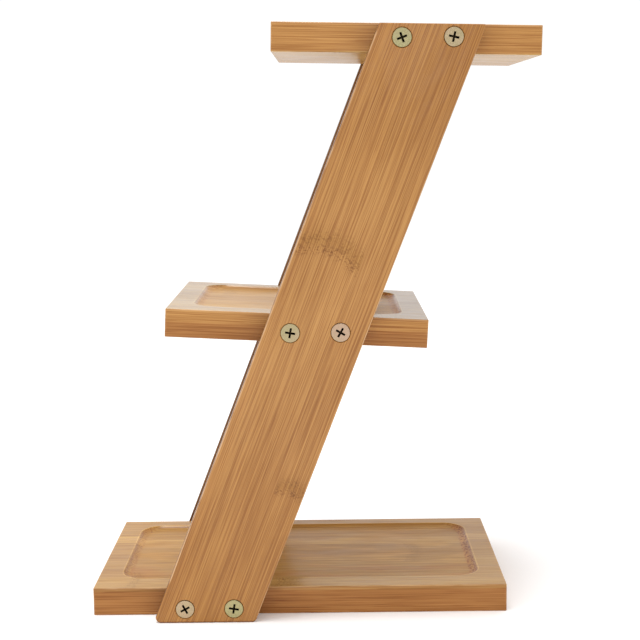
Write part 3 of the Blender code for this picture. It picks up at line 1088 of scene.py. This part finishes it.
CAMERA_PLACE = (0.01534, -0.72167, 0.25104)
CAMERA_TURNS = (8.32, 0.27, 0.72)  # degrees down, to the left and clockwise
CAMERA_LENS = 74.756
LIGHT_AIM = (0, 0, 0.15)
# Each light's place, what it points at, its width and height, and its power
LIGHTS = {
    "key": ((-0.15, -0.1, 1.8), LIGHT_AIM, 0.7, 18.0),
    "fill_left": ((-0.9, -1.4, 0.8), LIGHT_AIM, 0.8, 1.0),
    "fill_right": ((0.9, -1.4, 0.8), LIGHT_AIM, 0.8, 1.0),
    "glint": ((0.135, -1.37, 0.37), (0.05, 0, 0.3), 0.12, 0.12),
}
WORLD_STRENGTH = 1.05
FLOOR_REACH = 6.0
FLOOR_TONES = ((0.97, 0.97, 0.97, 1), (0.985, 0.985, 0.985, 1))
FLOOR_CELLS = 3.0
FLOOR_ROUGHNESS = 0.9


def add_object(name, data):
    obj = bpy.data.objects.new(name, data)
    bpy.context.scene.collection.objects.link(obj)
    return obj


def add_camera():
    """A long lens in front of the stand, a little above its middle, looking slightly down."""
    data = bpy.data.cameras.new("camera")
    data.lens = CAMERA_LENS
    data.clip_start = 0.01
    camera = add_object("camera", data)
    pitch, yaw, roll = (math.radians(angle) for angle in CAMERA_TURNS)
    rotation = (
        Matrix.Rotation(yaw, 4, "Z")
        @ Matrix.Rotation(math.pi / 2 - pitch, 4, "X")
        @ Matrix.Rotation(-roll, 4, "Z")
    )
    camera.matrix_world = Matrix.Translation(CAMERA_PLACE) @ rotation
    bpy.context.scene.camera = camera


def add_light(name, place, aim, size, power):
    data = bpy.data.lights.new(name, "AREA")
    data.size = size
    data.energy = power
    light = add_object(name, data)
    light.rotation_euler = (Vector(aim) - Vector(place)).to_track_quat("-Z", "Y").to_euler()
    light.location = place


def add_studio():
    """White all round, soft lights above and at both sides, and a floor that is white too."""
    world = bpy.data.worlds.new("studio")
    world.use_nodes = True
    sky = world.node_tree.nodes["Background"].inputs
    sky["Color"].default_value = (1, 1, 1, 1)
    sky["Strength"].default_value = WORLD_STRENGTH
    bpy.context.scene.world = world
    for name, settings in LIGHTS.items():
        add_light(name, *settings)
    mesh = bpy.data.meshes.new("floor")
    ground = BASE_LOW[2]
    corners = rectangle(-FLOOR_REACH, FLOOR_REACH, -FLOOR_REACH, FLOOR_REACH)
    mesh.from_pydata([(x, y, ground) for x, y in corners], [], [(0, 1, 2, 3)])
    floor = add_object("floor", mesh)
    paper, graph, shader, place = new_material("white_paper")
    tone = graph.mix(graph.noise(place, FLOOR_CELLS), *FLOOR_TONES)
    graph.feed_all(shader, {"Base Color": tone, "Roughness": FLOOR_ROUGHNESS})
    mesh.materials.append(paper)
    bpy.context.scene.view_settings.view_transform = "Standard"


# ---------------------------------------------------------------- the stand

# Each board's glued strips from front to back: where one starts (mm), how light it is, how red
TOP_STRIPS = {
    "bottom": [(-58, 0.82, 0.0), (-42, 0.75, 0.05), (-28, 0.80, 0.02), (-14.5, 0.75, 0.06),
               (17, 0.93, 0.0), (29, 0.78, 0.05)],
    "middle": [(-58, 1.0, 0.0), (-31, 0.92, 0.0), (-6, 0.86, 0.02), (20, 0.95, 0.0), (44, 0.88, 0.03)],
    "top": [(-58, 1.0, 0.0), (-26, 0.94, 0.0), (4, 0.88, 0.02), (33, 0.95, 0.0)],
}
LOW_STRIPS = {
    "bottom": [(-58, 0.78, 0.14), (-20, 0.88, 0.05), (18, 0.82, 0.08)],
    "middle": [(-58, 0.80, 0.12), (-12, 0.90, 0.04), (25, 0.85, 0.06)],
    # The top tray's lower ply, below its glue line at -6.8 mm, is its underside; its paler, less red
    # tone is painted reflection of the white floor.
    "top": [(-58, 1.08, -0.25), (-8, 1.03, -0.2), (30, 1.0, -0.14)],
}
# The rear bar's first strip, at 0.5 light, is painted shade along its left edge.
BAR_STRIPS = {
    "front": [(-24.5, 0.96, 0.02), (-19.6, 0.98, 0.0), (7.5, 0.95, 0.01)],
    "rear": [(-24.5, 0.5, 0.08), (-23.0, 1.0, 0.0), (7.5, 0.97, 0.01)],
}
SPLITS = {"bottom": 5.2, "middle": 0.9, "top": -6.8}
# Each knuckle's place along the board, the sides of its strip, its arch and reach (mm), its strength
TRAY_KNUCKLES = {
    # The bottom tray's first is a real knuckle, widened with painted shade to the right of the front
    # bar.
    "bottom": [(-6.0, -58.5, -42.0, 2.0, 7.0, 1.0), (-88.0, -58.5, -28.0, 2.0, 3.0, 0.6),
               (61.0, -14.5, 17.0, 4.0, 4.0, 0.5), (-34.0, 29.0, 58.5, 4.0, 4.0, 0.6)],
    # The middle tray's first two, with a wide reach, are painted shade on the right part of its recess.
    "middle": [(35.0, -43.5, 10.0, 1.0, 12.0, 1.0), (39.0, -43.5, 49.0, -2.0, 13.0, 1.0),
               (-42.0, 20.0, 44.0, 4.0, 4.0, 0.6)],
    "top": [(-20.0, 4.0, 33.0, 3.0, 4.0, 0.6), (40.0, -26.0, 4.0, -3.0, 4.0, 0.5)],
}
BAR_KNUCKLES = {
    "front": [(40.0, -23.5, 9.0, 5.0, 6.5, 1.0), (-79.5, 9.5, 24.5, 2.0, 5.0, 1.0)],
    "rear": [(-30.0, -24.5, 7.5, 4.0, 6.0, 1.0), (70.0, 7.5, 24.5, 3.0, 5.0, 1.0)],
}
# How much paler a tray's recess is than its edges, and how much paler the margin round it is
TRAY_FACES = {
    "bottom": ((1.26, 1.48, 1.42), (1.26, 1.48, 1.42)),
    "middle": ((1.14, 1.32, 1.28), (0.86, 1.08, 1.14)),
    "top": ((1.16, 1.34, 1.30), (1.16, 1.34, 1.30)),
}
TRAY_COATS = {"bottom": (0.45, 0.2), "middle": (0.78, 0.25), "top": (1.0, 0.3)}
BAR_COATS = (0.6, 0.6)
# how strong the painted highlight on each board's edges is
TRAY_HIGHLIGHT = 0.3
BAR_HIGHLIGHT = {"front": 0.7, "rear": 0.15}
# Where each board's grain is cut from, so that no two are alike
SHIFTS = {
    "bottom": (0.0, 0.0, 0.0),
    "middle": (310.0, 140.0, 40.0),
    "top": (-270.0, 420.0, -60.0),
    "front": (40.0, 210.0, 30.0),
    "rear": (-160.0, 330.0, 90.0),
}


def add_piece(mesh, material, node):
    mesh.materials.append(material)
    piece = add_object(mesh.name, mesh)
    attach(piece, "root")
    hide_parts(node)


def bar_turn():
    """The turn from a bar's own directions to the stand's: along it and up, across, and back."""
    along = (math.sin(BAR_LEAN), 0.0, math.cos(BAR_LEAN))
    across = (math.cos(BAR_LEAN), 0.0, -math.sin(BAR_LEAN))
    return tuple(Matrix((along, across, (0.0, 1.0, 0.0))).transposed().to_euler())


def build_stand():
    for level in LEVELS:
        length, centre, tilt = board_frame(level)
        half = tuple(np.array((length, BOARD[1], BOARD[2])) / 2 / MM)
        material = bamboo(
            f"lacquered_bamboo_{level}_tray", tuple(centre), (0.0, tilt, 0.0), half,
            TOP_STRIPS[level], LOW_STRIPS[level], SPLITS[level], TRAY_KNUCKLES[level], SHIFTS[level],
            TRAY_COATS[level], TRAY_HIGHLIGHT, TRAY_FACES[level],
        )
        add_piece(tray_mesh(level), material, f"{level}_tray")
    for side in SIDES:
        low, high = span(f"{side}_bar")
        length = (high[2] - low[2]) / math.cos(BAR_LEAN)
        half = tuple(np.array((length, BAR_WIDTH, high[1] - low[1])) / 2 / MM)
        material = bamboo(
            f"lacquered_bamboo_{side}_bar", tuple((low + high) / 2), bar_turn(), half,
            BAR_STRIPS[side], BAR_STRIPS[side], 0.0, BAR_KNUCKLES[side], SHIFTS[side],
            BAR_COATS, BAR_HIGHLIGHT[side],
        )
        add_piece(bar_mesh(side), material, f"{side}_bar")
    zinc = yellow_zinc()
    for side in SIDES:
        for level in LEVELS:
            for hand in HANDS:
                node = f"screw_{side}_{level}_{hand}"
                add_piece(screw_mesh(side, level, hand), zinc, node)


add_camera()
add_studio()
build_stand()
